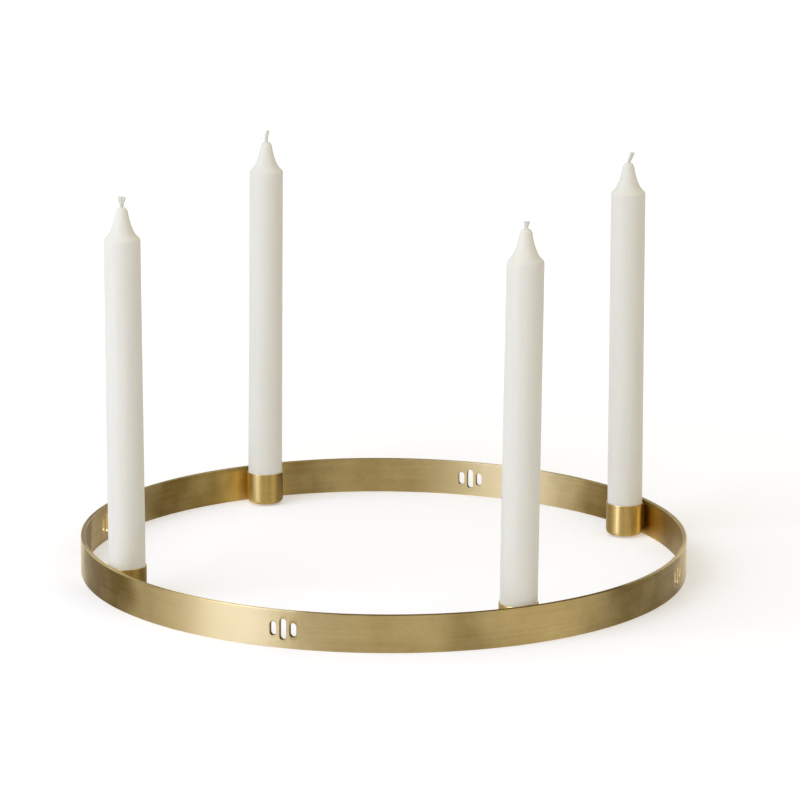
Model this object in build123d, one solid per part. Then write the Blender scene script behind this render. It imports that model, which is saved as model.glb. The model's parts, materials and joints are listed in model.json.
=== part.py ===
from build123d import *
import os
from math import degrees, radians

# Advent candle holder: a flat brass band rolled into a ring that stands on its lower edge,
# with four drawn cups brazed to its inner face and a crown candle standing in each cup.
# Frame: millimetres, +Z up, origin at the ring's centre on the table, cups on the X and Y axes.
# Headings are degrees counter-clockwise from +X, seen from above.

# Ring band and the brazed seam that closes it
RING_OUTER_D = 375.0
BAND_H = 22.6
BAND_T = 2.7
BAND_EDGE_R = 0.4
SEAM_W = 0.3
SEAM_HEADING = 284.5

# Upright slots, in groups of three midway between the cups
SLOT_W = 4.0
SLOT_PITCH = 6.1
SLOT_SIDE_H = 8.4
SLOT_MIDDLE_H = 12.6

# Drawn cups, and the braze between each cup and a flat filed into the band
CUP_COUNT = 4
CUP_H = 20.45
CUP_WALL = 0.45
CUP_CORNER_R = 2.9
CUP_LIFT = 1.0
BRAZE_GAP = 0.15
BRAZE_W = 6.0
BRAZE_INSET = 1.0
SEAT_DEPTH = 0.1

# Candle bodies: full length, shortfall of each candle, slight taper and a crown tip with concave flanks
CANDLE_L = 240.6
CANDLE_SHORTFALLS = (0.8, 1.5, 2.9, 0.0)
BODY_D = 22.2
BODY_TAPER = 0.4
SHOULDER_INSET = 0.9
SHOULDER_RISE = 2.2
TIP_H = 20.0
TIP_D = 7.5
TIP_ROUND_H = 2.8
TIP_LAND = 0.45
# The flank's two inner control points, as shares of its inward run and of its height
FLANK_SHARES = ((0.14, 0.058), (0.648, 0.184))

# Candle feet, which stand in the cups with a sliding clearance
FOOT_FIT = 0.2
FOOT_EASE = 0.4

# Wicks: stub above the wax, lean, heading of the lean and size of the frayed end, one for each candle
WICK_D = 2.0
WICK_FIT = 0.05
WICK_STUBS = (6.9, 7.8, 7.0, 5.0)
WICK_LEANS = (22.0, 18.0, 6.0, 6.0)
WICK_HEADINGS = (333.0, 333.0, 153.0, 333.0)
FRAY_DS = (2.7, 2.4, 4.4, 3.6)
FRAY_HS = (3.0, 2.4, 4.6, 3.4)

# One overrun serves all cuts
OVERRUN = 2.0

# Worked out from the sizes above
ring_outer_r = RING_OUTER_D / 2
ring_inner_r = ring_outer_r - BAND_T
body_r = BODY_D / 2
shoulder_r = body_r - BODY_TAPER / 2
candle_lengths = [CANDLE_L - shortfall for shortfall in CANDLE_SHORTFALLS]
bore_r = body_r + FOOT_FIT
cup_r = bore_r + CUP_WALL
cup_centre_r = ring_inner_r - BRAZE_GAP - cup_r
inner_corner_r = CUP_CORNER_R - CUP_WALL
cup_floor_z = CUP_LIFT + CUP_WALL
cup_rim_z = CUP_LIFT + CUP_H
wick_r = WICK_D / 2
wick_bore_r = wick_r + WICK_FIT
cup_headings = [360 / CUP_COUNT * i for i in range(CUP_COUNT)]


def band_section():
    """Cross-section of the rolled strip, in the XZ plane."""
    centre = Pos((ring_inner_r + ring_outer_r) / 2, BAND_H / 2)
    return Plane.XZ * centre * RectangleRounded(BAND_T, BAND_H, BAND_EDGE_R)


def slot_cutter(heading, height):
    """Radial cutter for one round-ended upright slot."""
    start_r = ring_inner_r - OVERRUN
    depth = BAND_T + OVERRUN + OVERRUN
    outline = SlotOverall(height, SLOT_W)
    cutter = extrude(Plane.YZ * Rot(Z=90) * outline, depth)
    return Rot(Z=heading) * Pos(start_r, 0, BAND_H / 2) * cutter


def ring_band():
    """The strip rolled round, open by the seam's width, with flats for the braze and groups of slots."""
    seam_turn = degrees(SEAM_W / ring_outer_r)
    band = Rot(Z=SEAM_HEADING + seam_turn / 2) * revolve(band_section(), Axis.Z, 360 - seam_turn)
    step = degrees(SLOT_PITCH / ring_outer_r)
    for cup_heading in cup_headings:
        band -= Rot(Z=cup_heading) * braze_block()
        middle = cup_heading + 180 / CUP_COUNT
        band -= slot_cutter(middle, SLOT_MIDDLE_H)
        band -= slot_cutter(middle - step, SLOT_SIDE_H)
        band -= slot_cutter(middle + step, SLOT_SIDE_H)
    return band


def ring_seam():
    """Braze that fills the gap between the two ends of the strip."""
    seam_turn = degrees(SEAM_W / ring_outer_r)
    return Rot(Z=SEAM_HEADING - seam_turn / 2) * revolve(band_section(), Axis.Z, seam_turn)


def round_bottomed(radius, height, corner_r):
    """Upright round plug with a rounded bottom corner, standing on the XY plane."""
    with BuildPart() as plug:
        with BuildSketch(Plane.XZ):
            with BuildLine():
                Line((0, 0), (radius - corner_r, 0))
                RadiusArc((radius - corner_r, 0), (radius, corner_r), -corner_r)
                Polyline((radius, corner_r), (radius, height), (0, height), (0, 0))
            make_face()
        revolve(axis=Axis.Z)
    return plug.part


def candle_cup():
    """Drawn cup with an even wall, on the origin's axis."""
    outside = round_bottomed(cup_r, CUP_H, CUP_CORNER_R)
    inside = round_bottomed(bore_r, CUP_H - CUP_WALL + OVERRUN, inner_corner_r)
    return Pos(0, 0, CUP_LIFT) * (outside - Pos(0, 0, CUP_WALL) * inside)


def braze_block():
    """Block from the axis of the cup on +X to the flat in the band, as wide and high as the braze."""
    low = CUP_LIFT + CUP_CORNER_R + BRAZE_INSET
    high = min(cup_rim_z, BAND_H - BAND_EDGE_R) - BRAZE_INSET
    reach = ring_inner_r + SEAT_DEPTH - cup_centre_r
    return Pos(cup_centre_r + reach / 2, 0, (low + high) / 2) * Box(reach, BRAZE_W, high - low)


def cup_braze():
    """Braze that fills the wedge between the cup on +X and the band's flat."""
    cup_outside = Cylinder(cup_r, CUP_H, align=(Align.CENTER, Align.CENTER, Align.MIN))
    return braze_block() - Pos(cup_centre_r, 0, CUP_LIFT) * cup_outside


def candle(length):
    """Crown candle with an eased foot and a bore for its wick, standing on the cup's floor."""
    foot_corner_r = inner_corner_r + FOOT_EASE
    body_top = (shoulder_r, cup_floor_z + length - TIP_H)
    shoulder = (shoulder_r - SHOULDER_INSET, body_top[1] + SHOULDER_RISE)
    top_z = cup_floor_z + length
    tip = (TIP_D / 2, top_z - TIP_ROUND_H)
    run = tip[0] - shoulder[0]
    rise = tip[1] - shoulder[1]
    flank = [(shoulder[0] + run * x, shoulder[1] + rise * z) for x, z in FLANK_SHARES]
    land_r = wick_bore_r + TIP_LAND
    with BuildPart() as wax:
        with BuildSketch(Plane.XZ):
            with BuildLine():
                Line((wick_bore_r, cup_floor_z), (body_r - foot_corner_r, cup_floor_z))
                RadiusArc(
                    (body_r - foot_corner_r, cup_floor_z),
                    (body_r, cup_floor_z + foot_corner_r),
                    -foot_corner_r,
                )
                Line((body_r, cup_floor_z + foot_corner_r), body_top)
                TangentArc(body_top, shoulder, tangent=(0, 1))
                side = Bezier(shoulder, *flank, tip)
                TangentArc(tip, (land_r, top_z), tangent=side % 1)
                Polyline((land_r, top_z), (wick_bore_r, top_z), (wick_bore_r, cup_floor_z))
            make_face()
        revolve(axis=Axis.Z)
    return wax.part


def wick(length, stub, lean, heading, fray_d, fray_h):
    """Wick along its candle's whole length, then a stub that bends over and ends in a frayed flare."""
    top_z = cup_floor_z + length
    core = Pos(0, 0, cup_floor_z) * Cylinder(wick_r, length, align=(Align.CENTER, Align.CENTER, Align.MIN))
    bend_r = (stub - fray_h) / radians(lean)
    bend_axis = Axis((bend_r, 0, top_z), (0, 1, 0))
    bend = revolve(Pos(0, 0, top_z) * Circle(wick_r), bend_axis, lean)
    fray = Cone(wick_r, fray_d / 2, fray_h, align=(Align.CENTER, Align.CENTER, Align.MIN))
    fray = (Pos(0, 0, top_z) * fray).rotate(bend_axis, lean)
    return Rot(Z=heading) * (core + bend + fray)


def at_cup(heading, shape):
    """A shape modelled on the origin's axis, moved to the cup at that heading."""
    centre = Rot(Z=heading) * Pos(cup_centre_r, 0, 0)
    return Pos(centre.position) * shape


def nodes():
    """Every piece of the holder by name, in its place."""
    made = {"ring_band": ring_band(), "ring_seam": ring_seam()}
    wick_sizes = list(zip(candle_lengths, WICK_STUBS, WICK_LEANS, WICK_HEADINGS, FRAY_DS, FRAY_HS))
    for i, heading in enumerate(cup_headings):
        number = i + 1
        made[f"candle_cup_{number}"] = at_cup(heading, candle_cup())
        made[f"cup_braze_{number}"] = Rot(Z=heading) * cup_braze()
        made[f"candle_{number}"] = at_cup(heading, candle(candle_lengths[i]))
        made[f"wick_{number}"] = at_cup(heading, wick(*wick_sizes[i]))
    return made


os.makedirs("parts", exist_ok=True)
for name, shape in nodes().items():
    export_step(shape, f"parts/{name}.step")
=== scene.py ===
"""Looks of the advent candle holder: a brushed brass ring, brazed cups, crown candles and braided wicks."""

import json
from math import asin, atan2, cos, degrees, hypot, pi, radians, sin, sqrt, tan

import bmesh
import bpy
from mathutils import Matrix, Vector, noise


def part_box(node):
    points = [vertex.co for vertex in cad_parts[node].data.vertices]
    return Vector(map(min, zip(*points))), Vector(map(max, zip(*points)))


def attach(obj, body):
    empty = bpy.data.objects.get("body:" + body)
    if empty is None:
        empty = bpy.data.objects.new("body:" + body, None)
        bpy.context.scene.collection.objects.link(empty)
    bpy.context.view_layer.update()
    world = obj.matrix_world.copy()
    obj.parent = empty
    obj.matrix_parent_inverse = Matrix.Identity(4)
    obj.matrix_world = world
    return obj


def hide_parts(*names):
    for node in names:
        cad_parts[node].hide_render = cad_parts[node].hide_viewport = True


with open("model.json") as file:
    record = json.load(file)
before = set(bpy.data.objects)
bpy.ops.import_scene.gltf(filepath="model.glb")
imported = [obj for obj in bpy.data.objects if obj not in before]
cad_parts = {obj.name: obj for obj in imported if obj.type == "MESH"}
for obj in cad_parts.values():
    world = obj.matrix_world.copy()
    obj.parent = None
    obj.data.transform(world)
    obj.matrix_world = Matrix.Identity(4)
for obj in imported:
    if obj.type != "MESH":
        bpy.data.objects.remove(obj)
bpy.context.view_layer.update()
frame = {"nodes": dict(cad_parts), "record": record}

# Pieces are drawn in millimetres, and the frame is in metres
MM = 0.001

# Camera: where it looks from and at, found from the outlines of the ring in the photograph
VIEW_HEADING = 27.248
VIEW_PITCH = 13.094
VIEW_ROLL = 0.4
VIEW_TARGET_M = (0.00832, -0.00429, 0.10585)
VIEW_DISTANCE_M = 2.3727
LENS_MM = 173.51
SENSOR_MM = 36.0

# Brass band: eased edges, the seam that closes it, and punched slots in groups of three
BAND_EDGE_R = 0.4
EDGE_WEAR = 0.5
SEAM_W = 0.3
SEAM_PROUD = 0.03
SLOT_W = 4.0
SLOT_PITCH = 6.1
SLOT_SIDE_H = 8.4
SLOT_MIDDLE_H = 12.6
SLOT_EDGE_R = 0.25

# Painted light in the slots by the heading of their group: painted shade on the walls of the groups at the
# front and back, painted glints on those at the two ends; and how it fades over the face round a slot: share
# of the way from the border of the slot's patch to its edge, and share of that painted light found there
SLOT_SHADE_AND_GLINT = {45: -0.9, 135: 1.8, 225: -1.6, 315: 1.7}
SLOT_HALO = ((0.35, 0.02), (0.65, 0.1), (0.85, 0.22), (0.96, 0.3))

# Patches of painted highlight and painted shade on the band, set where it reflects the bright window and the
# dark room: lighter where the amount is above zero and darker where it is below: heading of the middle,
# half-width that is full, half-width where it ends, all in degrees, and the amount
PATCHES_OUTSIDE = (
    (212.0, 0.0, 18.0, 1.0), (178.0, 7.0, 15.0, -0.8), (303.0, 10.0, 17.0, -0.46), (258.5, 1.0, 5.0, -0.12),
)
PATCHES_INSIDE = (
    (46.0, 3.0, 11.0, 1.1), (33.0, 1.0, 9.0, 0.7), (106.0, 9.0, 17.0, -0.5), (81.0, 3.0, 10.0, -0.22),
    (8.0, 7.0, 14.0, -0.55), (350.0, 3.0, 9.0, -0.1), (341.0, 4.0, 14.0, -0.22), (150.0, 2.0, 6.0, -0.8),
)
PATCHES_ON_TOP = (
    (356.0, 8.0, 18.0, -0.3), (326.0, 18.0, 32.0, 1.3), (154.0, 8.0, 18.0, -0.5), (196.0, 20.0, 34.0, 1.3),
    (260.0, 28.0, 36.0, -0.9),
)

# How far the borders of the patches wander, in degrees, in waves to the millimetre, and how much darker the
# whole inside of the band is
PATCH_BLUR = 2.5
PATCH_BLUR_WAVES = 0.05
DULL_INSIDE = 0.06

# Tint round each braze, partly the tint that brazing leaves and partly a painted reflection of the warm glow
# that the cups and the band throw on each other: how far along the band its middle lies from the braze, in
# degrees, where it is full and where it ends on the band and on the cup, in millimetres, and its blotches
TINT_SHIFT = {1: -3.0, 2: 1.5, 3: 0.0, 4: 0.0}
BAND_TINT_AND_GLOW = (8.0, 30.0)
CUP_TINT_AND_GLOW = (8.0, 20.0)
HEAT_BLOTCH = 0.15
HEAT_BLOTCH_WAVES = 0.08

# Drawn cups: wall, bottom corner, and the painted shading of each cup, of patches of painted highlight and
# painted shade round its side, and the painted highlight on its rim
CUP_WALL = 0.45
CUP_CORNER_R = 2.9
CUP_SHADING = {1: 0.1, 2: 0.0, 3: -0.85, 4: -0.1}
CUP_PATCHES = {
    1: ((184.0, 12.0, 28.0, -0.35), (217.0, 3.0, 13.0, 1.15), (272.0, 7.0, 15.0, -1.1),
        (300.0, 8.0, 20.0, 0.9)),
    2: ((182.0, 22.0, 38.0, 1.5), (306.0, 15.0, 38.0, -0.4)),
    3: (),
    4: (),
}
RIM_HIGHLIGHT = 2.0

# Braze between a cup and the band: width, how far it runs into both, how unevenly it flowed, how hollow its
# ends are, and the shares of the way across an end where it is drawn
BRAZE_W = 6.4
BRAZE_SINK = 0.04
BRAZE_FLOW = 0.35
BRAZE_FLOW_WAVES = 0.4
BRAZE_SEED_STEP = 7.0
BRAZE_HOLLOW = 0.3
BRAZE_END_SHARES = (0.25, 0.5, 0.75)

# Crown candles: foot, taper, shoulder, tip, the wax drawn up round the wick, and the inner stops of the
# flank's and the dome's curves as shares of the way in and up
FOOT_CORNER_R = 2.85
BODY_TAPER = 0.4
SHOULDER_INSET = 0.9
SHOULDER_RISE = 2.2
TIP_H = 20.0
TIP_R = 3.75
TIP_ROUND_H = 2.8
TIP_LAND_R = 1.6
WICK_COLLAR_H = 0.8
FLANK_SHARES = ((0.14, 0.058), (0.648, 0.184))
DOME_SHARES = ((0.13, 0.57), (0.49, 1.0))

# Unevenness of the wax and of the tip, with waves to the millimetre, and how far each candle leans to the
# camera's right, in degrees
WAX_WOBBLE = 0.04
WAX_WAVES_ROUND = 0.06
WAX_WAVES_UPWARD = 0.02
TIP_DENT = 0.1
TIP_DENT_WAVES = 0.45
CANDLE_SEED_STEP = 31.0
CANDLE_LEANS = {1: -0.53, 2: 0.25, 3: -0.35, 4: 0.32}

# Wicks: strands wound both ways round a thicker core, woven in waves, uneven in length and flatter where
# they fray
WICK_R = 1.2
WICK_ROOT = 3.0
STRANDS = 8
STRAND_R = 0.5
STRAND_CAP = 0.6
MOST_SWELL = 1.6
CORE_SWELL = 1.3
WINDING = 5.0
WEAVE = 0.15
WEAVE_WAVES = 18.0
FRAY_FLATNESS = 0.35
STRAND_SHORTFALL = 0.2
SHORTFALL_STEP = 2.4

# Each wick's own bend, how late it bends, frayed width, start of the fray and cleft
WICK_FORMS = {
    1: {"bend": 2.5, "hook": 1.1, "end_w": 3.0, "fray_from": 0.1, "cleft": 0.0},
    2: {"bend": 1.0, "hook": 3.6, "end_w": 2.6, "fray_from": 0.3, "cleft": 0.0},
    3: {"bend": 0.15, "hook": 1.5, "end_w": 4.1, "fray_from": 0.15, "cleft": 0.4},
    4: {"bend": 0.4, "hook": 1.0, "end_w": 3.5, "fray_from": 0.3, "cleft": 0.1},
}

# Light of the studio: air that lights the wax, and what metal shows, by the angle to the right of the camera
AIR_BEFORE = (0.72, 0.67, 0.525, 1.0)
AIR_BEHIND = (0.54, 0.505, 0.395, 1.0)
PLAIN_WHITE = (1.0, 1.0, 1.0, 1.0)
SHOWN_STRENGTH = 4.0
WHITE_SWEEP = (1.0, 1.0, 1.0)
WARM_ROOM = (1.0, 0.91, 0.71)
DAYLIT_WALL = (0.96, 1.0, 1.05)
WINDOW_FRAME = (0.94, 1.0, 1.1)
WINDOW = (0.84, 0.95, 1.7)
WINDOW_SKY = (0.82, 0.96, 1.95)
SHOWN_BY_SIDE = (
    (-180.0, 0.52, WHITE_SWEEP), (-160.0, 0.5, WHITE_SWEEP), (-151.0, 0.18, WHITE_SWEEP),
    (-143.0, 0.09, WHITE_SWEEP), (-137.0, 0.08, WARM_ROOM), (-114.0, 0.06, WARM_ROOM),
    (-104.0, 0.1, DAYLIT_WALL), (-96.0, 0.17, DAYLIT_WALL), (-88.0, 0.27, DAYLIT_WALL),
    (-80.0, 0.31, WINDOW_FRAME), (-66.0, 0.6, WINDOW), (-48.0, 0.7, WINDOW_SKY), (-40.0, 0.14, WARM_ROOM),
    (-31.0, 0.06, WARM_ROOM), (-20.0, 0.12, WARM_ROOM), (-8.0, 0.14, WARM_ROOM), (2.0, 0.185, WARM_ROOM),
    (12.0, 0.195, WARM_ROOM), (24.0, 0.15, WARM_ROOM), (32.0, 0.01, WARM_ROOM), (39.0, 0.1, WARM_ROOM),
    (48.0, 0.26, WARM_ROOM), (64.0, 0.26, WARM_ROOM), (74.0, 0.34, WARM_ROOM), (82.0, 0.17, WARM_ROOM),
    (90.0, 0.04, WARM_ROOM), (97.0, 0.015, WARM_ROOM), (137.0, 0.015, WARM_ROOM), (143.0, 0.03, WHITE_SWEEP),
    (151.0, 0.18, WHITE_SWEEP), (160.0, 0.5, WHITE_SWEEP), (180.0, 0.52, WHITE_SWEEP),
)

# Dark gap of the room straight behind the holder, which the band's top shows: angles from the camera where
# it starts and is full, heights as shares of a full rise where it starts and is full, and how dark it is
GAP_SIDES = (164.0, 172.0)
GAP_RISES = (0.03, 0.12)
GAP_DARKNESS = 0.97

# Floor: its reach, and its own glow near the holder and farther off
FLOOR_REACH_M = 12.0
FLOOR_GLOW_SPAN_M = (0.2, 0.9)
FLOOR_GLOW = (0.33, 0.55)

# Brass round the brazes, partly tinted by brazing and partly a painted reflection of warm glow, pale brass
# for painted glints and highlights, and what tint is left at a grazing angle
TINT_AND_GLOW_BRASS = (0.84, 0.61, 0.2, 1.0)
GLINT_BRASS = (0.95, 0.73, 0.28, 1.0)
GRAZING_TINT = (1.0, 0.985, 0.94, 1.0)

# Range that soft noise mostly keeps to, and the parts of it where the tarnish gathers in clouds and in spots
NOISE_SPAN = (0.3, 0.7)
CLOUD_SPAN = (0.35, 0.7)
SPOT_SPAN = (0.56, 0.74)

# Shares of clouds, of streaks and of spots in the tarnished film, and how strongly the painted shade and the
# tint round the brazes with its painted glow show, from between the clouds to their middles
CLOUD_SHARE = 0.7
STREAK_SHARE = 0.35
SPOT_SHARE = 0.25
DARKENING = (0.85, 1.15)
TINTING = (0.6, 0.9)

# Wax and cotton: share of the grain in the bumps, and roughness from the hollows to the tops of the grain
GRAIN_SHARE = 0.3
GRAIN_ROUGHNESS = (0.42, 0.56)

# How finely the pieces are divided
PLAIN_STEP_DEG = 1.5
FACE_ROWS = 8
SLOT_COLUMNS = 8
ARC_STEPS = 4
TURN_STEPS = 96
CUP_FLOOR_STEPS = 6
CUP_ROUND_STEPS = 8
CUP_SIDE_STEPS = 10
BRAZE_ROWS = 14
BRAZE_COLUMNS = 12
FOOT_STEPS = 3
BODY_STEPS = 64
SHOULDER_STEPS = 8
FLANK_STEPS = 24
DOME_STEPS = 10
WICK_STEPS = 36
STRAND_SIDES = 8

# Names of the texture map, which is in centimetres, and of the painted light with the rubbed edges, and of
# the brazing tint with its painted glow, that the brass pieces carry
STRIP_MAP = "along_strip"
CM_PER_MM = 0.1
LIGHT_AND_RUBBING_NAME = "painted_light_and_rubbing"
TINT_AND_GLOW_NAME = "brazing_tint_and_glow"


# Places and sizes read from the frame


def node_span(node):
    """Lowest and highest corner of a CAD node, in millimetres."""
    low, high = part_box(node)
    return low / MM, high / MM


def node_radii(node):
    """Least and greatest distance of a CAD node's points from the ring's axis, in millimetres."""
    spans = [vertex.co.xy.length / MM for vertex in frame["nodes"][node].data.vertices]
    return min(spans), max(spans)


def heading_of(place):
    """Heading of a place round the ring's axis, in degrees."""
    return degrees(atan2(place[1], place[0])) % 360


band_inner_r, band_outer_r = node_radii("ring_band")
band_t = band_outer_r - band_inner_r
band_h = node_span("ring_band")[1].z
seam_low, seam_high = node_span("ring_seam")
seam_heading = heading_of((seam_low + seam_high) / 2)
slot_mounts = [mount for mount in frame["record"]["mounts"] if mount["name"].startswith("ribbon_slots")]
slot_headings = sorted(heading_of(mount["pos_m"]) for mount in slot_mounts)
slot_z = slot_mounts[0]["pos_m"][2] / MM
candle_numbers = [
    int(name.split("_")[1]) for name in frame["nodes"] if name.startswith("candle_") and "cup" not in name
]


def tint_place(number):
    """Middle of the brazing tint and its painted glow on the band's inner face."""
    cup_heading = heading_of(sum(node_span(f"candle_cup_{number}"), Vector()))
    heading = radians(cup_heading + TINT_SHIFT[number])
    return Vector((cos(heading), sin(heading))) * band_inner_r


tint_places = [tint_place(number) for number in candle_numbers]

# Level directions that point away from the camera and to its right
view_turn = radians(VIEW_HEADING)
view_ahead = Vector((sin(view_turn), cos(view_turn), 0.0))
view_right = Vector((cos(view_turn), -sin(view_turn), 0.0))


# Curves and steps


def quarter(steps=ARC_STEPS):
    """Angles of a quarter turn, both ends included."""
    return [pi / 2 * step / steps for step in range(steps + 1)]


def between(start, end, steps):
    """Even steps from start to end, both included."""
    return [start + (end - start) * step / steps for step in range(steps + 1)]


def eased(value, low, high):
    """Smooth rise from 0 at low to 1 at high."""
    share = min(1.0, max(0.0, (value - low) / (high - low)))
    return share * share * (3 - 2 * share)


def bent(start, shares, end, steps):
    """Points of a smooth curve from start to end. shares place its two inner stops between them."""
    stops = [Vector(start)]
    for x, z in shares:
        stops.append(Vector((start[0] + (end[0] - start[0]) * x, start[1] + (end[1] - start[1]) * z)))
    stops.append(Vector(end))
    points = []
    for t in between(0.0, 1.0, steps):
        s = 1 - t
        weights = (s**3, 3 * s * s * t, 3 * s * t * t, t**3)
        points.append(sum((stop * weight for stop, weight in zip(stops, weights)), Vector((0.0, 0.0))))
    return points


def painted_patches(heading, patches, blur=0.0):
    """Sum of the patches of painted highlight and painted shade at a heading. blur moves their borders."""
    light_and_wear = 0.0
    for middle, full, end, amount in patches:
        away = abs((heading - middle + 180) % 360 - 180) + blur
        light_and_wear += amount * (1 - eased(away, full, end))
    return light_and_wear


# Meshes built from grids of points


def start_mesh():
    """Empty mesh with the strip map, painted light with rubbed edges, and brazing tint with painted glow."""
    mesh = bmesh.new()
    mesh.loops.layers.uv.new(STRIP_MAP)
    mesh.verts.layers.float.new(LIGHT_AND_RUBBING_NAME)
    mesh.verts.layers.float.new(TINT_AND_GLOW_NAME)
    return mesh


def add_grid(mesh, rows):
    """Quads between rows of points. A point is its place, its place on the strip map and its painted light
    and rubbing.
    """
    strip = mesh.loops.layers.uv[STRIP_MAP]
    light_and_wear = mesh.verts.layers.float[LIGHT_AND_RUBBING_NAME]
    lines = []
    for row in rows:
        line = []
        for place, on_strip, lit_and_worn in row:
            vert = mesh.verts.new(Vector(place) * MM)
            vert[light_and_wear] = lit_and_worn
            line.append((vert, Vector(on_strip) * CM_PER_MM))
        lines.append(line)
    for low, high in zip(lines, lines[1:]):
        for corners in zip(low, low[1:], high[1:], high):
            face = mesh.faces.new([vert for vert, _ in corners])
            face.smooth = True
            for loop, (_, on_strip) in zip(face.loops, corners):
                loop[strip].uv = on_strip


def turned(mesh, outline, centre, shape=None):
    """Turns an outline of (radius, height, painted light) about an upright axis. shape may move each point.
    """
    girth = 0.0
    rows = []
    last = outline[0]
    for radius, height, lit_and_worn in outline:
        girth += hypot(radius - last[0], height - last[1])
        last = (radius, height)
        row = []
        for step in range(TURN_STEPS + 1):
            angle = 2 * pi * (step % TURN_STEPS) / TURN_STEPS
            place = Vector((radius * cos(angle), radius * sin(angle), height))
            if shape:
                place = shape(place)
            round_the_axis = 2 * pi * step / TURN_STEPS * max(radius, TIP_LAND_R)
            row.append((place + centre, (round_the_axis, girth), lit_and_worn))
        rows.append(row)
    add_grid(mesh, rows)


def close_ends(mesh):
    """Fills a swept mesh's open ends with flat faces that keep a sharp border."""
    bmesh.ops.remove_doubles(mesh, verts=mesh.verts, dist=MM * MM)
    open_edges = [edge for edge in mesh.edges if edge.is_boundary]
    for face in bmesh.ops.holes_fill(mesh, edges=open_edges, sides=0)["faces"]:
        face.smooth = False
    for edge in open_edges:
        edge.smooth = False


def tint_round_brazes(mesh, full, end):
    """Brazing tint of a mesh round the brazes, partly a painted warm glow, on the side of the band where they
    were brazed.
    """
    tint_and_glow = mesh.verts.layers.float[TINT_AND_GLOW_NAME]
    for vert in mesh.verts:
        place = vert.co.xy / MM
        if place.length > band_outer_r - band_t / 2 or vert.co.z / MM > band_h - BAND_EDGE_R:
            continue
        near = min((place - tint_middle).length for tint_middle in tint_places)
        if near < end:
            blotch = HEAT_BLOTCH * noise.noise(vert.co / MM * HEAT_BLOTCH_WAVES)
            vert[tint_and_glow] = max(0.0, 1 - eased(near, full, end) + blotch)


def finish_piece(mesh, name, body, nodes, material):
    """Closes a mesh and makes it a piece that rides on a body in place of its CAD nodes."""
    bmesh.ops.remove_doubles(mesh, verts=mesh.verts, dist=MM * MM)
    bmesh.ops.recalc_face_normals(mesh, faces=mesh.faces)
    data = bpy.data.meshes.new(name)
    mesh.to_mesh(data)
    mesh.free()
    piece = bpy.data.objects.new(name, data)
    bpy.context.scene.collection.objects.link(piece)
    data.materials.append(material)
    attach(piece, body)
    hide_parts(*nodes)
    return piece


def even_shading(piece):
    """Lets broad faces set the shading, so that small rounded edges don't darken them."""
    weighted = piece.modifiers.new("even_shading", "WEIGHTED_NORMAL")
    weighted.keep_sharp = True


# Brass band


def band_section():
    """Stretches of the strip's section, from under its middle round by the outer face and the top."""
    ease = BAND_EDGE_R
    far = band_t - ease
    high = band_h - ease
    flat = 0.0
    under_outer = [(band_t / 2, 0.0, flat)]
    under_outer += [(ease - ease * sin(a), ease - ease * cos(a), EDGE_WEAR * sin(2 * a)) for a in quarter()]
    outer_face = [(0.0, z, flat) for z in between(ease, high, FACE_ROWS)]
    top = [(ease - ease * cos(a), high + ease * sin(a), EDGE_WEAR * sin(2 * a)) for a in quarter()]
    top += [(depth, band_h, flat) for depth in between(ease, far, ARC_STEPS)]
    top += [(far + ease * sin(a), high + ease * cos(a), EDGE_WEAR * sin(2 * a)) for a in quarter()]
    inner_face = [(band_t, z, flat) for z in between(high, ease, FACE_ROWS)]
    under_inner = [(far + ease * cos(a), ease - ease * sin(a), EDGE_WEAR * sin(2 * a)) for a in quarter()]
    under_inner.append((band_t / 2, 0.0, flat))
    girth = 0.0
    last = under_outer[0]
    stretches = []
    for stretch in (under_outer, outer_face, top, inner_face, under_inner):
        points = []
        for depth, z, light_and_wear in stretch:
            girth += hypot(depth - last[0], z - last[1])
            last = (depth, z)
            points.append((depth, z, girth, light_and_wear))
        stretches.append(points)
    return stretches


def band_light_of(place, depth):
    """Painted light of the band at a place: under zero for painted shade, over zero for painted highlight,
    lower inside.
    """
    inside = depth > band_t / 2
    dull = DULL_INSIDE if inside else 0.0
    patches = PATCHES_INSIDE if inside else PATCHES_OUTSIDE
    if place.z > band_h - BAND_EDGE_R / 2:
        patches = PATCHES_ON_TOP
    blur = PATCH_BLUR * noise.noise(place * PATCH_BLUR_WAVES)
    # Patches of painted highlight and painted shade by heading, and the inside a little darker
    return painted_patches(heading_of(place), patches, blur) - dull


def on_band(along, depth, z, girth, lit_and_worn):
    """A point of the band, from its distance along the strip and its depth behind the outer face."""
    heading = radians(seam_heading) + along / band_outer_r
    radius = band_outer_r - depth
    place = Vector((radius * cos(heading), radius * sin(heading), z))
    return tuple(place), (along, girth), lit_and_worn + band_light_of(place, depth)


def sweep(mesh, alongs, stretch):
    """Part of the section, drawn along the strip."""
    add_grid(mesh, [[on_band(along, *point) for point in stretch] for along in alongs])


def slot_loop(centre, height, grow, depth, girth_at, lit_and_worn):
    """Points round a slot's outline, let out by grow, in step with the points of its patch's border."""
    half_w = SLOT_W / 2 + grow
    straight = (height - SLOT_W) / 2
    sides = [(-half_w, z) for z in between(-straight, straight, FACE_ROWS)][:-1]
    sides += [(-half_w * cos(a), straight + half_w * sin(a)) for a in between(0.0, pi, SLOT_COLUMNS)][:-1]
    loop = sides + [(-x, -z) for x, z in sides]
    loop.append(loop[0])
    points = []
    for x, z in loop:
        girth = girth_at(slot_z + z, depth)
        place, (along, girth), light_and_wear = on_band(centre + x, depth, slot_z + z, girth, lit_and_worn)
        points.append((place, (along + depth, girth), light_and_wear))
    return points


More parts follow.
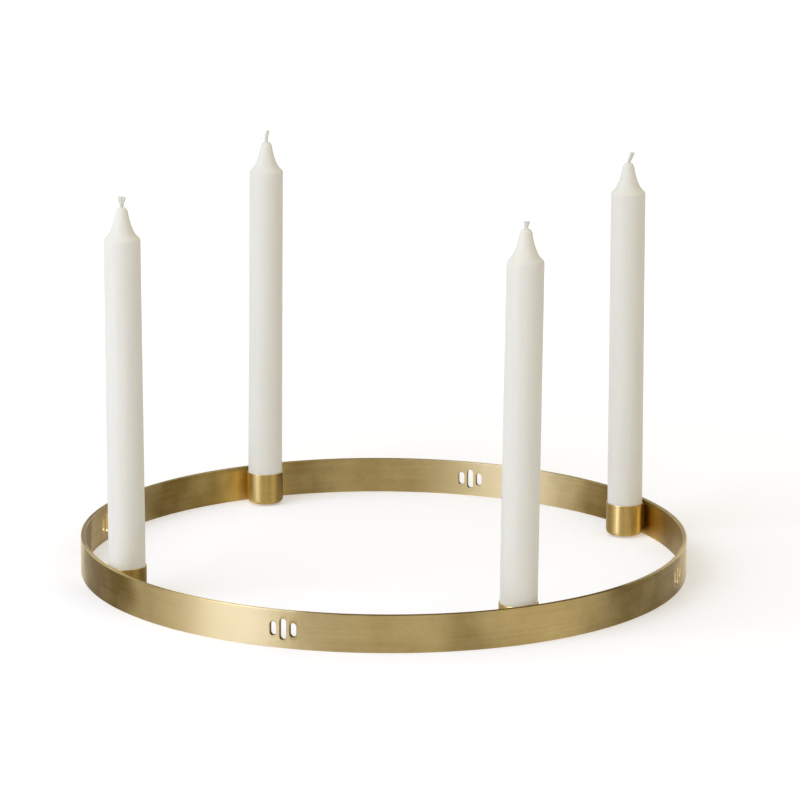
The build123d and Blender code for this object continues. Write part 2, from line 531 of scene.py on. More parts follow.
def border_loop(centre, depth, girth_at):
    """Points round the border of a slot's patch of the band's face."""
    half_w = SLOT_PITCH / 2
    half_h = band_h / 2 - BAND_EDGE_R
    sides = [(-half_w, z) for z in between(-half_h, half_h, FACE_ROWS)][:-1]
    sides += [(x, half_h) for x in between(-half_w, half_w, SLOT_COLUMNS)][:-1]
    loop = sides + [(-x, -z) for x, z in sides]
    loop.append(loop[0])
    return [on_band(centre + x, depth, slot_z + z, girth_at(slot_z + z, depth), 0.0) for x, z in loop]


def mix_loops(border, edge, share, lit_and_worn):
    """The loop on the band's face that lies a share of the way from a border to a slot's edge."""
    mixed = []
    for (place_a, strip_a, _), (place_b, strip_b, _) in zip(border, edge):
        depth = band_outer_r - hypot(place_a[0], place_a[1])
        along, girth = Vector(strip_a).lerp(Vector((strip_b[0] - depth, strip_b[1])), share)
        z = place_a[2] + (place_b[2] - place_a[2]) * share
        mixed.append(on_band(along, depth, z, girth, lit_and_worn))
    return mixed


def punched_slot(mesh, centre, height, stretches, slot_shade_and_glint):
    """One slot: both faces of its patch, its rounded edges and its wall."""
    outer_girth = stretches[1][0][2]
    inner_girth = stretches[3][0][2]
    ease = SLOT_EDGE_R
    # The slot's walls and edges carry painted light: painted shade in the groups at the front and back,
    # painted glints in those at the two ends, fading out over the face round the slot.
    least = SLOT_HALO[-1][1]

    def girth_outside(z, depth):
        return outer_girth + z - BAND_EDGE_R + depth

    def girth_inside(z, depth):
        return inner_girth + band_h - BAND_EDGE_R - z + band_t - depth

    def half(face_depth, inward, girth_at):
        border = border_loop(centre, face_depth, girth_at)
        rolled = []
        for a in quarter():
            depth = face_depth + inward * (ease - ease * cos(a))
            lit_and_worn = slot_shade_and_glint * max(sin(a), least)
            rolled.append(slot_loop(centre, height, ease - ease * sin(a), depth, girth_at, lit_and_worn))
        spread = [mix_loops(border, rolled[0], share, slot_shade_and_glint * halo) for share, halo in SLOT_HALO]
        return [border, *spread, *rolled]

    add_grid(mesh, half(0.0, 1, girth_outside))
    add_grid(mesh, half(band_t, -1, girth_inside))
    wall_depths = between(ease, band_t - ease, ARC_STEPS)
    add_grid(mesh, [slot_loop(centre, height, 0.0, depth, girth_outside, slot_shade_and_glint) for depth in wall_depths])


def brass_band(material):
    """The rolled strip, from one side of its seam round to the other."""
    mesh = start_mesh()
    stretches = band_section()
    under_outer, outer_face, top, inner_face, under_inner = stretches
    whole = under_outer + outer_face[1:] + top[1:] + inner_face[1:] + under_inner[1:]
    round_the_band = 2 * pi * band_outer_r
    group_half_w = SLOT_PITCH * 3 / 2
    groups = sorted(
        (radians((heading - seam_heading) % 360) * band_outer_r, round(heading)) for heading in slot_headings
    )
    plain_from = SEAM_W / 2
    for middle, heading in groups + [(None, None)]:
        plain_to = middle - group_half_w if middle else round_the_band - SEAM_W / 2
        steps = round(degrees((plain_to - plain_from) / band_outer_r) / PLAIN_STEP_DEG)
        sweep(mesh, between(plain_from, plain_to, steps), whole)
        if middle is None:
            break
        for place, height in ((-1, SLOT_SIDE_H), (0, SLOT_MIDDLE_H), (1, SLOT_SIDE_H)):
            centre = middle + place * SLOT_PITCH
            alongs = between(centre - SLOT_PITCH / 2, centre + SLOT_PITCH / 2, SLOT_COLUMNS)
            for stretch in (under_outer, top, under_inner):
                sweep(mesh, alongs, stretch)
            punched_slot(mesh, centre, height, stretches, SLOT_SHADE_AND_GLINT[heading])
        plain_from = middle + group_half_w
    close_ends(mesh)
    tint_round_brazes(mesh, *BAND_TINT_AND_GLOW)
    piece = finish_piece(mesh, "brass_band", "holder", ["ring_band"], material)
    even_shading(piece)


def band_seam(material):
    """The braze that closes the strip, a hair proud of it."""
    mesh = start_mesh()
    section = [point for stretch in band_section() for point in stretch]
    middle = band_t / 2
    rows = []
    for along in between(-SEAM_W / 2, SEAM_W / 2, ARC_STEPS):
        swell = SEAM_PROUD * cos(pi * along / (SEAM_W + SEAM_W))
        outward = 1 + swell / middle
        row = []
        for depth, z, girth, lit_and_worn in section:
            lifted = min(max(middle + (depth - middle) * outward, -swell), band_t + swell)
            row.append(on_band(along, lifted, z, girth, lit_and_worn))
        rows.append(row)
    add_grid(mesh, rows)
    close_ends(mesh)
    finish_piece(mesh, "band_seam", "holder", ["ring_seam"], material)


# Cups and braze


def cup_outline(low_z, high_z, radius, lit_and_worn):
    """Half of a cup's outline, from the middle of its underside over the rim to the middle of its floor."""
    corner = CUP_CORNER_R
    inner_corner = corner - CUP_WALL
    bore = radius - CUP_WALL
    rim_r = CUP_WALL / 2
    rim_z = high_z - rim_r
    floor = low_z + CUP_WALL
    outside = [(r, low_z) for r in between(0.0, radius - corner, CUP_FLOOR_STEPS)]
    outside += [
        (radius - corner + corner * sin(a), low_z + corner - corner * cos(a))
        for a in quarter(CUP_ROUND_STEPS)
    ][1:]
    outside += [(radius, z) for z in between(low_z + corner, rim_z, CUP_SIDE_STEPS)][1:]
    half_turn = between(0.0, pi, CUP_ROUND_STEPS)
    rim = [(radius - rim_r + rim_r * cos(a), rim_z + rim_r * sin(a)) for a in half_turn][1:]
    inside = [(bore, z) for z in between(rim_z, floor + inner_corner, CUP_SIDE_STEPS)][1:]
    inside += [
        (bore - inner_corner + inner_corner * cos(a), floor + inner_corner - inner_corner * sin(a))
        for a in quarter(CUP_ROUND_STEPS)
    ][1:]
    inside += [(r, floor) for r in between(bore - inner_corner, 0.0, CUP_FLOOR_STEPS)][1:]
    outline = [(r, z, lit_and_worn) for r, z in outside]
    # Painted highlight along the cup's rim, in the pale brass
    outline += [(r, z, RIM_HIGHLIGHT) for r, z in rim]
    outline += [(r, z, lit_and_worn) for r, z in inside]
    return outline


def drawn_cup(number, material):
    """Thin drawn cup with a round bottom corner and a rounded rim."""
    cad_node = f"candle_cup_{number}"
    low, high = node_span(cad_node)
    centre = (low + high) / 2
    centre.z = 0.0
    mesh = start_mesh()
    # Painted shading of each cup, darkest on cup 3, which shows the shaded inside of the front band
    turned(mesh, cup_outline(low.z, high.z, (high.x - low.x) / 2, CUP_SHADING[number]), centre)
    # Patches of painted highlight and painted shade round the cup's side, where it reflects the window and
    # the room
    light_and_wear = mesh.verts.layers.float[LIGHT_AND_RUBBING_NAME]
    for vert in mesh.verts:
        vert[light_and_wear] += painted_patches(heading_of(vert.co / MM - centre), CUP_PATCHES[number])
    tint_round_brazes(mesh, *CUP_TINT_AND_GLOW)
    piece = finish_piece(mesh, f"drawn_cup_{number}", "holder", [cad_node], material)
    even_shading(piece)


def cup_braze(number, material):
    """Braze in the wedge between a cup and the band, with hollow ends where it drew in."""
    cad_node = f"cup_braze_{number}"
    cup_low, cup_high = node_span(f"candle_cup_{number}")
    low, high = node_span(cad_node)
    cup_centre = (cup_low + cup_high) / 2
    cup_r = (cup_high.x - cup_low.x) / 2
    heading = radians(heading_of(cup_centre))
    cup_centre_r = cup_centre.xy.length
    outward = Vector((cos(heading), sin(heading), 0.0))
    sideways = Vector((-sin(heading), cos(heading), 0.0))
    mesh = start_mesh()
    rows = []
    for height in between(low.z, high.z, BRAZE_ROWS):
        flow = noise.noise(Vector((number * BRAZE_SEED_STEP, height * BRAZE_FLOW_WAVES, 0.0)))
        half_w = BRAZE_W / 2 + BRAZE_FLOW * flow
        sides = between(-half_w, half_w, BRAZE_COLUMNS)
        front = [(side, sqrt(cup_r**2 - side**2) - BRAZE_SINK) for side in sides]
        back = [
            (side, sqrt(band_inner_r**2 - side**2) - cup_centre_r + BRAZE_SINK) for side in reversed(sides)
        ]
        near = front[-1][1]
        far = back[0][1]
        end = [
            (half_w - BRAZE_HOLLOW * sin(pi * share), near + (far - near) * share)
            for share in BRAZE_END_SHARES
        ]
        other_end = [(-side, out) for side, out in reversed(end)]
        loop = front + end + back + other_end
        loop.append(loop[0])
        row = []
        for side, out in loop:
            place = outward * (cup_centre_r + out) + sideways * side
            row.append(((place.x, place.y, height), (side, height), 0.0))
        rows.append(row)
    add_grid(mesh, rows)
    close_ends(mesh)
    finish_piece(mesh, f"cup_fillet_{number}", "holder", [cad_node], material)


# Candles and wicks


def leaning(place, number, rim_z):
    """A point of a candle that leans in its cup, turning about the middle of the cup's rim."""
    return place + view_right * ((place.z - rim_z) * tan(radians(CANDLE_LEANS[number])))


def candle_outline(low_z, high_z, body_r):
    """Half of a crown candle's outline, from the middle of its foot to the wax drawn up round its wick."""
    shoulder_r = body_r - BODY_TAPER / 2
    shoulder_z = high_z - TIP_H
    round_r = (SHOULDER_RISE**2 + SHOULDER_INSET**2) / (2 * SHOULDER_INSET)
    shoulder_turn = between(0.0, asin(SHOULDER_RISE / round_r), SHOULDER_STEPS)
    flank_from = (shoulder_r - SHOULDER_INSET, shoulder_z + SHOULDER_RISE)
    flank_to = (TIP_R, high_z - TIP_ROUND_H)
    foot = FOOT_CORNER_R
    body_from = low_z + foot
    outline = [(r, low_z) for r in between(0.0, body_r - foot, FOOT_STEPS)]
    outline += [(body_r - foot + foot * sin(a), low_z + foot - foot * cos(a)) for a in quarter()][1:]
    outline += [
        (body_r + (shoulder_r - body_r) * share, body_from + (shoulder_z - body_from) * share)
        for share in between(0.0, 1.0, BODY_STEPS)
    ][1:]
    outline += [
        (shoulder_r - round_r * (1 - cos(a)), shoulder_z + round_r * sin(a)) for a in shoulder_turn
    ][1:]
    outline += bent(flank_from, FLANK_SHARES, flank_to, FLANK_STEPS)[1:]
    outline += bent(flank_to, DOME_SHARES, (TIP_LAND_R, high_z), DOME_STEPS)[1:]
    outline += [
        (WICK_R + (TIP_LAND_R - WICK_R) * (1 - sin(a)), high_z + WICK_COLLAR_H * (1 - cos(a)))
        for a in quarter()
    ][1:]
    outline.append((0.0, high_z + WICK_COLLAR_H))
    return [(radius, height, 0.0) for radius, height in outline]


def crown_candle(number, material):
    """Crown candle, a little uneven as cast wax is."""
    cad_node = f"candle_{number}"
    low, high = node_span(cad_node)
    rim_z = node_span(f"candle_cup_{number}")[1].z
    centre = (low + high) / 2
    centre.z = 0.0
    seed = Vector((number * CANDLE_SEED_STEP, 0.0, 0.0))

    def uneven(place):
        waves = (place.x * WAX_WAVES_ROUND, place.y * WAX_WAVES_ROUND, place.z * WAX_WAVES_UPWARD)
        wobble = noise.noise(Vector(waves) + seed)
        near_tip = max(0.0, (place.z - high.z + TIP_H) / TIP_H)
        dents = noise.noise(place * TIP_DENT_WAVES + seed)
        away = Vector((place.x, place.y, 0.0))
        if place.z > rim_z and away.length:
            place = place + away.normalized() * (WAX_WOBBLE * wobble + TIP_DENT * near_tip * dents)
        return leaning(place, number, rim_z)

    mesh = start_mesh()
    turned(mesh, candle_outline(low.z, high.z, (high.x - low.x) / 2), centre, uneven)
    body = f"lifting_candle_{number}"
    finish_piece(mesh, f"crown_candle_{number}", body, [cad_node], material)


def strand_tube(mesh, line, radii):
    """Round strand along a line of points, closed at both ends."""
    rows = []
    for i, point in enumerate(line):
        ahead = line[min(i + 1, len(line) - 1)] - line[max(i - 1, 0)]
        turn = ahead.to_track_quat("Z", "Y")
        row = []
        for side in range(STRAND_SIDES + 1):
            angle = 2 * pi * (side % STRAND_SIDES) / STRAND_SIDES
            spoke = turn @ Vector((cos(angle), sin(angle), 0.0))
            row.append((point + spoke * radii[i], (angle, i), 0.0))
        rows.append(row)
    cap = line[-1] + (line[-1] - line[-2]).normalized() * radii[-1] * STRAND_CAP
    first = [(line[0], (0.0, 0.0), 0.0)] * (STRAND_SIDES + 1)
    last = [(cap, (0.0, 1.0), 0.0)] * (STRAND_SIDES + 1)
    add_grid(mesh, [first, *rows, last])


def braided_wick(number, material):
    """Braided wick: strands wound both ways round a bent line, which part at the frayed end."""
    cad_node = f"wick_{number}"
    form = WICK_FORMS[number]
    wick_high = node_span(cad_node)[1]
    wax_low, wax_high = node_span(f"candle_{number}")
    rim_z = node_span(f"candle_cup_{number}")[1].z
    centre = (wax_low + wax_high) / 2
    end_r = STRAND_R * min(form["end_w"] / (WICK_R + WICK_R), MOST_SWELL)
    root_z = wax_high.z - WICK_ROOT
    top_z = wick_high.z - end_r
    mesh = start_mesh()
    for strand in range(STRANDS + 1):
        way = 1 if strand % 2 else -1
        core = strand == STRANDS
        start = 2 * pi * strand / STRANDS
        uneven_end = STRAND_SHORTFALL + STRAND_SHORTFALL * sin(strand * SHORTFALL_STEP + number)
        shorter = end_r if core else uneven_end
        line = []
        radii = []
        for step in range(WICK_STEPS + 1):
            z = root_z + (top_z - shorter - root_z) * step / WICK_STEPS
            above = max(0.0, (z - wax_high.z) / (top_z - wax_high.z))
            fray = eased(above, form["fray_from"], 1.0)
            angle = start + way * WINDING * min(above, form["fray_from"])
            weave = 1 + WEAVE * way * cos(WEAVE_WAVES * above + start)
            radius = STRAND_R + (end_r - STRAND_R) * fray
            spread = (WICK_R - STRAND_R) * weave * (1 - fray) + (form["end_w"] / 2 - radius) * fray
            sideways = form["bend"] * above ** form["hook"]
            deep = 0.0
            if not core:
                side = cos(angle)
                sideways += spread * side + form["cleft"] * fray * (1 if side > 0 else -1)
                deep = spread * sin(angle) * (1 - FRAY_FLATNESS * fray)
            place = Vector((centre.x, centre.y, z)) + view_right * sideways + view_ahead * deep
            line.append(leaning(place, number, rim_z))
            radii.append(radius * (CORE_SWELL if core else 1.0))
        strand_tube(mesh, line, radii)
    body = f"lifting_candle_{number}"
    finish_piece(mesh, f"braided_wick_{number}", body, [cad_node], material)


# Steps of the materials


def node(tree, kind, inputs=None, **settings):
    """A shader node with its settings, and with values or links on its inputs."""
    made = tree.nodes.new(kind)
    for name, value in settings.items():
        setattr(made, name, value)
    for socket, value in (inputs or {}).items():
        if isinstance(value, bpy.types.NodeSocket):
            tree.links.new(value, made.inputs[socket])
        else:
            made.inputs[socket].default_value = value
    return made


def mix_colour(tree, share, first, second):
    """Mixes two colours and gives the result's socket."""
    mixed = node(tree, "ShaderNodeMix", data_type="RGBA")
    for socket, value in ((mixed.inputs[0], share), (mixed.inputs[6], first), (mixed.inputs[7], second)):
        if isinstance(value, bpy.types.NodeSocket):
            tree.links.new(value, socket)
        else:
            socket.default_value = value
    return mixed.outputs[2]


def sums(tree, operation, first, second):
    """One step of arithmetic on two values, which may be links."""
    return node(tree, "ShaderNodeMath", {0: first, 1: second}, operation=operation).outputs[0]


def remap(tree, value, low, high, to_low, to_high):
    """A value taken from one range to another, and held inside it."""
    ranges = {"Value": value, "From Min": low, "From Max": high, "To Min": to_low, "To Max": to_high}
    return node(tree, "ShaderNodeMapRange", ranges).outputs["Result"]


def clamped(tree, value):
    """A value held between 0 and 1."""
    return node(tree, "ShaderNodeClamp", {"Value": value}).outputs[0]


def stretched(tree, place, stretch):
    """A place scaled along each axis."""
    return node(tree, "ShaderNodeVectorMath", {0: place, 1: stretch}, operation="MULTIPLY").outputs[0]


def cloudy(tree, place, scale, detail, roughness=0.5):
    """Soft noise over a place."""
    settings = {"Vector": place, "Scale": scale, "Detail": detail, "Roughness": roughness}
    return node(tree, "ShaderNodeTexNoise", settings).outputs[0]


def raised(tree, height, strength, distance):
    """Normal of a surface that has this height."""
    settings = {"Height": height, "Strength": strength, "Distance": distance}
    return node(tree, "ShaderNodeBump", settings).outputs[0]


def link(tree, output, shader, socket):
    """Feeds an output to one of a shader's sockets."""
    tree.links.new(output, shader.inputs[socket])


def new_group(name, inputs, outputs):
    """Empty node group with named sockets, and its input and output nodes."""
    tree = bpy.data.node_groups.new(name, "ShaderNodeTree")
    for kind, names in (("INPUT", inputs), ("OUTPUT", outputs)):
        for socket, form in names:
            tree.interface.new_socket(socket, in_out=kind, socket_type=form)
    return tree, tree.nodes.new("NodeGroupInput").outputs, tree.nodes.new("NodeGroupOutput")


def place_group(tree, group, inputs):
    """A node group set in a material, with its own values."""
    return node(tree, "ShaderNodeGroup", inputs, node_tree=group)


def new_material(name):
    """Material with a bare Principled shader."""
    material = bpy.data.materials.new(name)
    material.use_nodes = True
    tree = material.node_tree
    return material, tree, tree.nodes["Principled BSDF"]


# Materials


def brushed_lines_group():
    """Fine lines along a strip map: a height for bump and a streak mask."""
    tree, given, result = new_group(
        "brushed_lines",
        [("Place", "NodeSocketVector"), ("Stretch", "NodeSocketVector"), ("Wave", "NodeSocketFloat")],
        [("Height", "NodeSocketFloat"), ("Streak", "NodeSocketFloat")],
    )
    fine = stretched(tree, given["Place"], given["Stretch"])
    lines = cloudy(tree, fine, scale=1.0, detail=4.0, roughness=0.65)
    broad = stretched(tree, fine, (0.6, 0.16, 1.0))
    streaks = cloudy(tree, broad, scale=1.0, detail=3.0, roughness=0.55)
    slow = stretched(tree, given["Place"], (0.3, 0.12, 1.0))
    waves = cloudy(tree, slow, scale=1.0, detail=2.0)
    wave = sums(tree, "MULTIPLY", waves, given["Wave"])
    link(tree, sums(tree, "ADD", lines, wave), result, "Height")
    link(tree, remap(tree, streaks, *NOISE_SPAN, 0.0, 1.0), result, "Streak")
    return tree


def tarnish_and_shade_group():
    """Tarnished clouds on brass, painted shade, brazing tint with painted glow, painted glints and
    highlights.
    """
    tree, given, result = new_group(
        "brass_colour_and_shade",
        [("Place", "NodeSocketVector"), ("Clean", "NodeSocketColor"), ("Tarnished", "NodeSocketColor"),
         ("Tint And Glow Colour", "NodeSocketColor"), ("Glint", "NodeSocketColor"), ("Amount", "NodeSocketFloat"),
         ("Streak", "NodeSocketFloat"), ("Light And Rubbing", "NodeSocketFloat"), ("Tint And Glow", "NodeSocketFloat"),
         ("Smooth", "NodeSocketFloat"), ("Dull", "NodeSocketFloat")],
        [("Colour", "NodeSocketColor"), ("Roughness", "NodeSocketFloat")],
    )
    clouds = cloudy(tree, given["Place"], scale=28.0, detail=5.0, roughness=0.6)
    cloud = sums(tree, "MULTIPLY", remap(tree, clouds, *CLOUD_SPAN, 0.0, 1.0), CLOUD_SHARE)
    spots = cloudy(tree, given["Place"], scale=330.0, detail=3.0, roughness=0.55)
    spot = remap(tree, spots, *SPOT_SPAN, 0.0, SPOT_SHARE)
    streak = sums(tree, "MULTIPLY", given["Streak"], STREAK_SHARE)
    mottled = sums(tree, "ADD", sums(tree, "ADD", cloud, spot), streak)
    share = sums(tree, "MULTIPLY", mottled, given["Amount"])
    covered = sums(tree, "SUBTRACT", 1.0, sums(tree, "MAXIMUM", given["Light And Rubbing"], 0.0))
    left_on = sums(tree, "MULTIPLY", share, sums(tree, "MAXIMUM", covered, 0.0))
    # Painted shade, darker where the carried value is below zero
    darkened = sums(tree, "MULTIPLY", sums(tree, "MINIMUM", given["Light And Rubbing"], 0.0), -1.0)
    added = sums(tree, "MULTIPLY", darkened, remap(tree, clouds, *NOISE_SPAN, *DARKENING))
    tarnish_and_shade = clamped(tree, sums(tree, "ADD", left_on, added))
    # Brazing tint, partly a painted reflection of warm glow
    tinted = sums(tree, "MULTIPLY", given["Tint And Glow"], remap(tree, clouds, *NOISE_SPAN, *TINTING))
    # Pale brass for painted glints and highlights where the carried value is above one
    glint = clamped(tree, sums(tree, "SUBTRACT", given["Light And Rubbing"], 1.0))
    colour = mix_colour(tree, tarnish_and_shade, given["Clean"], given["Tarnished"])
    colour = mix_colour(tree, tinted, colour, given["Tint And Glow Colour"])
    colour = mix_colour(tree, glint, colour, given["Glint"])
    link(tree, colour, result, "Colour")
    link(tree, remap(tree, tarnish_and_shade, 0.0, 1.0, given["Smooth"], given["Dull"]), result, "Roughness")
    return tree


def brass(name, groups, clean, tarnished, amount, stretch, smooth, dull, anisotropic, bump, wave):
    """Brass finish: brushed lines along the strip map, tarnished clouds, rubbed edges and painted light."""
    material, tree, shader = new_material(name)
    shader.inputs["Metallic"].default_value = 1.0
    shader.inputs["Anisotropic"].default_value = anisotropic
    shader.inputs["Anisotropic Rotation"].default_value = 0.25
    shader.inputs["Specular Tint"].default_value = GRAZING_TINT
    strip = node(tree, "ShaderNodeUVMap", uv_map=STRIP_MAP).outputs[0]
    lines = place_group(tree, groups["lines"], {"Place": strip, "Stretch": stretch, "Wave": wave})
    light_and_wear = node(tree, "ShaderNodeAttribute", attribute_name=LIGHT_AND_RUBBING_NAME)
    tint_and_glow = node(tree, "ShaderNodeAttribute", attribute_name=TINT_AND_GLOW_NAME)
    place = node(tree, "ShaderNodeTexCoord").outputs["Object"]
    tarnish_and_shade = place_group(tree, groups["tarnish_and_shade"], {
        "Place": place, "Clean": clean, "Tarnished": tarnished, "Tint And Glow Colour": TINT_AND_GLOW_BRASS, "Glint": GLINT_BRASS,
        "Amount": amount, "Streak": lines.outputs["Streak"], "Light And Rubbing": light_and_wear.outputs["Fac"],
        "Tint And Glow": tint_and_glow.outputs["Fac"], "Smooth": smooth, "Dull": dull})
    tangent = node(tree, "ShaderNodeTangent", direction_type="UV_MAP", uv_map=STRIP_MAP)
    link(tree, tarnish_and_shade.outputs["Colour"], shader, "Base Color")
    link(tree, tarnish_and_shade.outputs["Roughness"], shader, "Roughness")
    normal = raised(tree, lines.outputs["Height"], strength=bump, distance=0.00004)
    link(tree, normal, shader, "Normal")
    link(tree, tangent.outputs[0], shader, "Tangent")
    return material


def wax_mottle_group():
    """Faint clouding of wax and the low grain of its skin."""
    tree, given, result = new_group(
        "wax_mottle",
        [("Place", "NodeSocketVector"), ("Draw", "NodeSocketVector"), ("Pale", "NodeSocketColor"),
         ("Warm", "NodeSocketColor"), ("Cloud Scale", "NodeSocketFloat"), ("Grain Scale", "NodeSocketFloat")],
        [("Colour", "NodeSocketColor"), ("Height", "NodeSocketFloat"), ("Roughness", "NodeSocketFloat")],
    )
    drawn_out = stretched(tree, given["Place"], given["Draw"])
    clouds = cloudy(tree, drawn_out, given["Cloud Scale"], detail=4.0)
    grain = cloudy(tree, given["Place"], given["Grain Scale"], detail=3.0)
    share = remap(tree, clouds, *NOISE_SPAN, 0.0, 1.0)
    height = sums(tree, "ADD", clouds, sums(tree, "MULTIPLY", grain, GRAIN_SHARE))
    link(tree, mix_colour(tree, share, given["Pale"], given["Warm"]), result, "Colour")
    link(tree, height, result, "Height")
    link(tree, remap(tree, grain, *NOISE_SPAN, *GRAIN_ROUGHNESS), result, "Roughness")
    return tree


def wax(groups):
    """Off-white candle wax that lets a little warm light through."""
    material, tree, shader = new_material("candle_wax")
    place = node(tree, "ShaderNodeTexCoord").outputs["Object"]
    mottle = place_group(tree, groups["mottle"], {
        "Place": place, "Draw": (1.0, 1.0, 0.05), "Pale": (0.885, 0.875, 0.845, 1.0),
        "Warm": (0.855, 0.84, 0.8, 1.0), "Cloud Scale": 260.0, "Grain Scale": 420.0})
    shader.inputs["Subsurface Weight"].default_value = 0.35
    shader.inputs["Subsurface Radius"].default_value = (1.0, 0.72, 0.42)
    shader.inputs["Subsurface Scale"].default_value = 0.005
    shader.inputs["IOR"].default_value = 1.44
    shader.inputs["Specular IOR Level"].default_value = 0.15
    link(tree, mottle.outputs["Colour"], shader, "Base Color")
    link(tree, mottle.outputs["Roughness"], shader, "Roughness")
    normal = raised(tree, mottle.outputs["Height"], strength=0.12, distance=0.0003)
    link(tree, normal, shader, "Normal")
    return material


def cotton(groups):
    """Cotton braid soaked in wax."""
    material, tree, shader = new_material("wick_cotton")
    place = node(tree, "ShaderNodeTexCoord").outputs["Object"]
    mottle = place_group(tree, groups["mottle"], {
        "Place": place, "Draw": (1.0, 1.0, 1.0), "Pale": (0.93, 0.92, 0.87, 1.0),
        "Warm": (0.8, 0.78, 0.7, 1.0), "Cloud Scale": 900.0, "Grain Scale": 4000.0})
    shader.inputs["Subsurface Weight"].default_value = 0.2
    shader.inputs["Subsurface Radius"].default_value = (1.0, 0.8, 0.5)
    shader.inputs["Subsurface Scale"].default_value = 0.001
    link(tree, mottle.outputs["Colour"], shader, "Base Color")
    link(tree, mottle.outputs["Roughness"], shader, "Roughness")
    normal = raised(tree, mottle.outputs["Height"], strength=0.4, distance=0.0002)
    link(tree, normal, shader, "Normal")
    return material


# Studio


def photo_camera():
    """Camera at the photograph's viewing angle, for a square image."""
    pitch = radians(VIEW_PITCH)
    roll = radians(VIEW_ROLL)
    forward = view_ahead * cos(pitch) - Vector((0.0, 0.0, sin(pitch)))
    up = view_right.cross(forward)
    rolled_right = view_right * cos(roll) + up * sin(roll)
    rolled_up = up * cos(roll) - view_right * sin(roll)
    data = bpy.data.cameras.new("photo_camera")
    data.lens = LENS_MM
    data.sensor_width = SENSOR_MM
    camera = bpy.data.objects.new("photo_camera", data)
    bpy.context.scene.collection.objects.link(camera)
    turn = Matrix((rolled_right, rolled_up, -forward)).transposed().to_4x4()
    place = Vector(VIEW_TARGET_M) - forward * VIEW_DISTANCE_M
    camera.matrix_world = Matrix.Translation(place) @ turn
    bpy.context.scene.camera = camera


def soft_lamp(name, side, rise, distance, size, watts, colour):
    """Soft lamp aimed at the holder. side is its angle to the right of the camera, rise its angle up."""
    level = -view_ahead * cos(radians(side)) + view_right * sin(radians(side))
    direction = level * cos(radians(rise)) + Vector((0.0, 0.0, sin(radians(rise))))
    data = bpy.data.lights.new(name, "AREA")
    data.shape = "RECTANGLE"
    data.size, data.size_y = size
    data.energy = watts
    data.color = colour
    lamp = bpy.data.objects.new(name, data)
    bpy.context.scene.collection.objects.link(lamp)
    lamp.location = Vector(VIEW_TARGET_M) + direction * distance
    lamp.rotation_euler = (-direction).to_track_quat("-Z", "Y").to_euler()


def seen_share(tree, path):
    """1 for rays that show the background: from the camera, off metal or through glass."""
    shown = sums(tree, "MAXIMUM", path["Is Camera Ray"], path["Is Glossy Ray"])
    return sums(tree, "MAXIMUM", shown, path["Is Transmission Ray"])


def part_along(tree, direction, axis):
    """How far a direction points along an axis."""
    inputs = {0: direction, 1: tuple(axis)}
    return node(tree, "ShaderNodeVectorMath", inputs, operation="DOT_PRODUCT").outputs["Value"]


def room_by_side(tree, side):
    """Colour of the room that metal shows, by the angle to the right of the camera."""
    ramp = node(tree, "ShaderNodeValToRGB", {"Fac": remap(tree, side, -pi, pi, 0.0, 1.0)})
    stops = ramp.color_ramp.elements
    for angle, _, _ in SHOWN_BY_SIDE[1:-1]:
        stops.new((angle + 180) / 360)
    for stop, (_, strength, tone) in zip(stops, SHOWN_BY_SIDE):
        stop.color = (*[strength * part for part in tone], 1.0)
    return ramp.outputs["Color"]


def gap_behind(tree, direction, side):
    """Darkness of the gap in the room straight behind the holder."""
    rise = node(tree, "ShaderNodeSeparateXYZ", {0: direction}).outputs["Z"]
    to_side = node(tree, "ShaderNodeMath", {0: side}, operation="ABSOLUTE").outputs[0]
    start, full = [radians(angle) for angle in GAP_SIDES]
    in_gap = remap(tree, to_side, start, full, 0.0, 1.0)
    return sums(tree, "MULTIPLY", in_gap, remap(tree, rise, *GAP_RISES, 0.0, GAP_DARKNESS))


def white_studio():
    """World: even warm light, and for metal a window on one side, a dim room and a white sweep behind."""
    world = bpy.data.worlds.new("white_studio")
    bpy.context.scene.world = world
    world.use_nodes = True
    tree = world.node_tree
    path = node(tree, "ShaderNodeLightPath").outputs
    direction = node(tree, "ShaderNodeTexCoord").outputs["Generated"]
    toward = part_along(tree, direction, -view_ahead)
    side = sums(tree, "ARCTAN2", part_along(tree, direction, view_right), toward)
    open_share = sums(tree, "SUBTRACT", 1.0, gap_behind(tree, direction, side))
    shown = {0: room_by_side(tree, side), "Scale": sums(tree, "MULTIPLY", open_share, SHOWN_STRENGTH)}
    room = node(tree, "ShaderNodeVectorMath", shown, operation="SCALE").outputs["Vector"]
    studio = mix_colour(tree, path["Is Camera Ray"], room, PLAIN_WHITE)
    air = mix_colour(tree, remap(tree, toward, -1.0, 1.0, 0.0, 1.0), AIR_BEHIND, AIR_BEFORE)
    link(tree, mix_colour(tree, seen_share(tree, path), air, studio), tree.nodes["Background"], "Color")


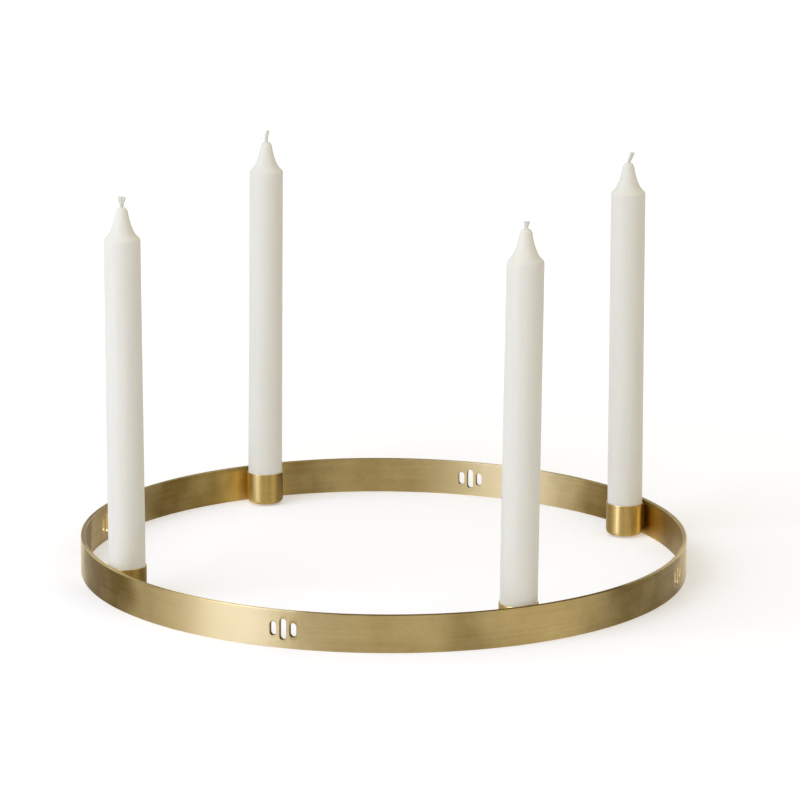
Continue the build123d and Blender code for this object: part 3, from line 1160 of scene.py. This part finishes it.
def pale_floor():
    """Wide pale floor that shows white round the holder and keeps its shadow."""
    data = bpy.data.meshes.new("studio_floor")
    reach = FLOOR_REACH_M
    corners = [(-reach, -reach, 0.0), (reach, -reach, 0.0), (reach, reach, 0.0), (-reach, reach, 0.0)]
    data.from_pydata(corners, [], [(0, 1, 2, 3)])
    floor = bpy.data.objects.new("studio_floor", data)
    bpy.context.scene.collection.objects.link(floor)
    material, tree, shader = new_material("pale_floor")
    seen = seen_share(tree, node(tree, "ShaderNodeLightPath").outputs)
    place = node(tree, "ShaderNodeTexCoord").outputs["Object"]
    far = node(tree, "ShaderNodeVectorMath", {0: place}, operation="LENGTH").outputs["Value"]
    glow = remap(tree, far, *FLOOR_GLOW_SPAN_M, *FLOOR_GLOW)
    shader.inputs["Base Color"].default_value = (0.86, 0.87, 0.97, 1.0)
    shader.inputs["Roughness"].default_value = 0.9
    shader.inputs["Specular IOR Level"].default_value = 0.0
    shader.inputs["Emission Color"].default_value = PLAIN_WHITE
    link(tree, sums(tree, "MULTIPLY", seen, glow), shader, "Emission Strength")
    data.materials.append(material)


def build():
    """All pieces with their finishes, then the studio."""
    groups = {"lines": brushed_lines_group(), "tarnish_and_shade": tarnish_and_shade_group(), "mottle": wax_mottle_group()}
    brushed_brass = brass(
        "brushed_brass", groups, clean=(0.6, 0.467, 0.22, 1.0), tarnished=(0.23, 0.14, 0.02, 1.0),
        amount=0.42, stretch=(0.25, 40.0, 1.0), smooth=0.43, dull=0.5, anisotropic=0.95, bump=0.12,
        wave=40.0)
    drawn_brass = brass(
        "drawn_brass", groups, clean=(0.6, 0.42, 0.14, 1.0), tarnished=(0.3, 0.19, 0.05, 1.0),
        amount=0.42, stretch=(0.5, 30.0, 1.0), smooth=0.42, dull=0.46, anisotropic=0.98, bump=0.06,
        wave=0.0)
    filed_braze = brass(
        "brass_braze", groups, clean=(0.54, 0.39, 0.17, 1.0), tarnished=(0.34, 0.23, 0.09, 1.0),
        amount=0.45, stretch=(2.0, 6.0, 1.0), smooth=0.36, dull=0.5, anisotropic=0.0, bump=0.2,
        wave=0.0)
    candle_wax = wax(groups)
    wick_cotton = cotton(groups)
    brass_band(brushed_brass)
    band_seam(filed_braze)
    for number in candle_numbers:
        drawn_cup(number, drawn_brass)
        cup_braze(number, filed_braze)
        crown_candle(number, candle_wax)
        braided_wick(number, wick_cotton)
    photo_camera()
    white_studio()
    pale_floor()
    soft_lamp(
        "window_lamp", side=-52.0, rise=33.0, distance=2.2, size=(1.5, 2.3), watts=24.0,
        colour=(0.72, 0.82, 1.0))


build()
bpy.context.scene.view_settings.view_transform = "Standard"
